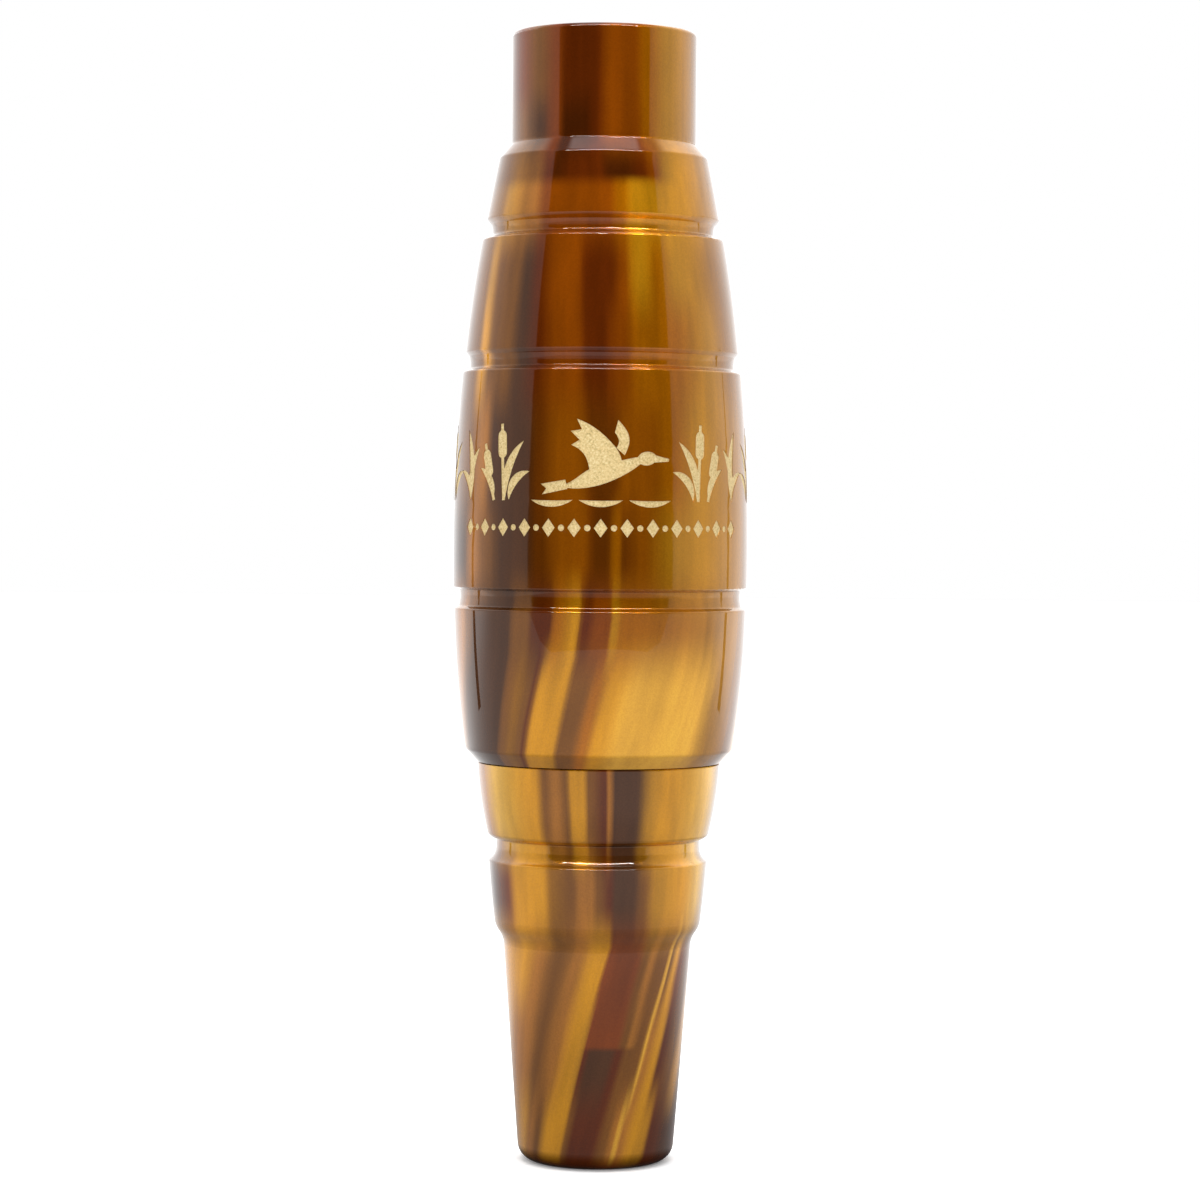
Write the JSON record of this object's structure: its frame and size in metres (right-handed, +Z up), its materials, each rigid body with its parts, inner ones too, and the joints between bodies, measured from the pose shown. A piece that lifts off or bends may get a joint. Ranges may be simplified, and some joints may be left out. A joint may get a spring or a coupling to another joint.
{
  "type": "duck call",
  "caption": "Turned acrylic duck call: a grooved barrel with a mouthpiece plugs on O-rings onto a tapered insert that holds a tone board, reeds and a wedge.",
  "frame": {"origin": "centre of the exhaust end, the small flat end that the call stands on", "axes": "+Z up the call's axis from the exhaust end to the mouthpiece, -Y out of the middle of the engraved emblem, +X to the right when looking at the emblem"},
  "size_m": [0.0358, 0.0357, 0.136],
  "materials": {
    "barrel_resin": "polished swirled acrylic, brown, amber and gold",
    "insert_resin": "polished swirled acrylic, brown, amber and gold",
    "gold_fill": "matte metallic gold paint fill",
    "seal_rubber": "satin black nitrile",
    "board_plastic": "machined black polycarbonate",
    "reed_film": "translucent polyester film",
    "cork": "cut agglomerated cork"
  },
  "bodies": {
    "insert": {"insert": "insert_resin", "tone_board": "board_plastic"},
    "seal_rings": {"upper_o_ring": "seal_rubber", "lower_o_ring": "seal_rubber"},
    "barrel": {"barrel": "barrel_resin", "emblem_inlay": "gold_fill", "border_inlay": "gold_fill"},
    "reed_lower": {"reed_lower": "reed_film"},
    "reed_upper": {"reed_upper": "reed_film"},
    "wedge": {"wedge": "cork"}
  },
  "joints": [
    {"name": "barrel_twist", "type": "hinge", "parent": "insert", "child": "seal_rings", "pos_m": [0, 0, 0.0569], "axis": [0, 0, 1], "continuous": true},
    {"name": "barrel_pull", "type": "slide", "parent": "seal_rings", "child": "barrel", "axis": [0, 0, 1], "range_m": [0, 0.075]},
    {"name": "reed_lower_flex", "type": "hinge", "parent": "insert", "child": "reed_lower", "pos_m": [0, -0.0005, 0.081], "axis": [-1, 0, 0], "range_deg": [-0.3, 1.6], "stiffness_Nm_per_rad": 0.01},
    {"name": "reed_upper_flex", "type": "hinge", "parent": "insert", "child": "reed_upper", "pos_m": [0, -0.0005, 0.081], "axis": [-1, 0, 0], "range_deg": [-0.3, 1.6], "stiffness_Nm_per_rad": 0.01},
    {"name": "wedge_pull", "type": "slide", "parent": "insert", "child": "wedge", "axis": [0, 0, 1], "range_m": [0, 0.015]}
  ],
  "couplings": [
    {"joint": "reed_upper_flex", "follows": "reed_lower_flex", "ratio": 1}
  ]
}
